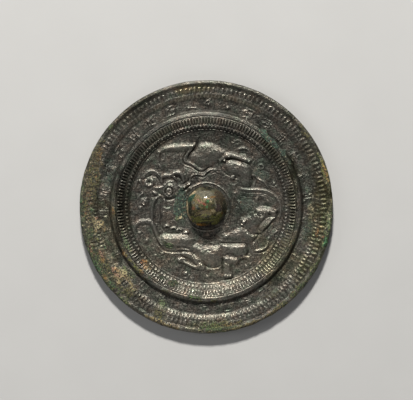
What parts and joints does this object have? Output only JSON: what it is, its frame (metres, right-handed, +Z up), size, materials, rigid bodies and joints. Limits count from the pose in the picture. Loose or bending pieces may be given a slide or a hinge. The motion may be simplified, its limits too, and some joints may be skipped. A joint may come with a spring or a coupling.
{
  "type": "bronze hand mirror",
  "caption": "Ancient round cast bronze mirror lying face down, its back cast with a dragon, a tiger, toothed rings and a domed cord knob.",
  "frame": {"origin": "middle of the polished face, on the surface that the mirror lies on", "axes": "+Z up out of the decorated back through the knob; +Y towards the dragon, at the top of the back's picture; +X towards the tiger's head"},
  "size_m": [0.14, 0.1399, 0.0132],
  "materials": {
    "bronze": "cast bronze, dark grey-brown with green and brown corrosion"
  },
  "bodies": {
    "root": {"mirror": "bronze"}
  },
  "joints": []
}
